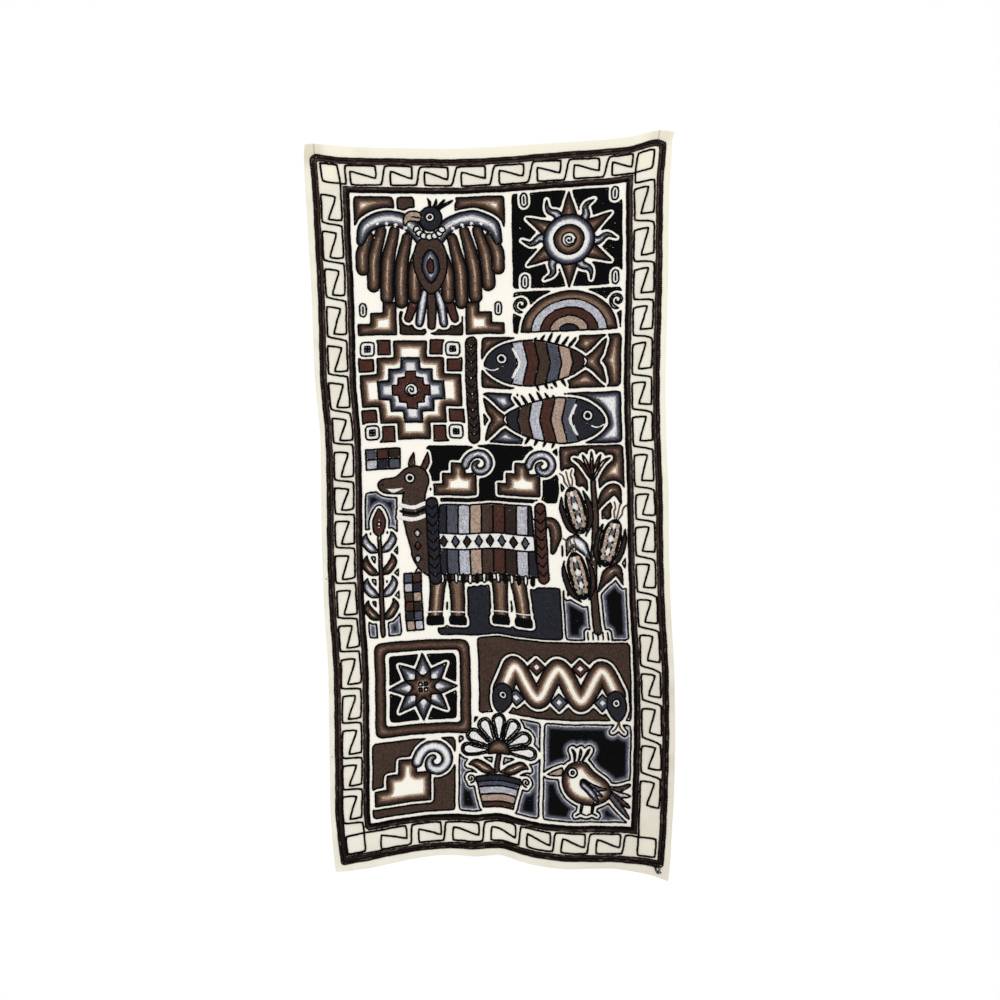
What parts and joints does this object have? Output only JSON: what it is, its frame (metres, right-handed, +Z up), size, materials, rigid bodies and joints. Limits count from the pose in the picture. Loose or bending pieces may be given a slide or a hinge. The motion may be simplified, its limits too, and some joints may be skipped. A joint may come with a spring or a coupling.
{
  "type": "embroidered wall hanging",
  "caption": "Upright hemmed wool cloth worked in close rows of yarn, with banded key borders round a picture field, hung by its top edge.",
  "frame": {"origin": "middle of the top edge, in the plane of the cloth's back", "axes": "+Z up, the front faces -Y, +X to the right as seen from the front"},
  "size_m": [0.6072, 0.0293, 1.2269],
  "materials": {
    "ground_cloth": "undyed cream wool, plain weave, matt",
    "band_yarn": "dark brown and black wool yarn in close rows, matt",
    "laid_yarn": "black wool yarn, matt"
  },
  "bodies": {
    "root": {"cloth": "ground_cloth", "key_yarn_left": "laid_yarn", "key_yarn_right": "laid_yarn", "key_yarn_top": "laid_yarn", "key_yarn_bottom": "laid_yarn", "corner_yarn_top_left": "laid_yarn", "corner_yarn_top_right": "laid_yarn", "corner_yarn_bottom_left": "laid_yarn", "corner_yarn_bottom_right": "laid_yarn"}
  },
  "joints": []
}
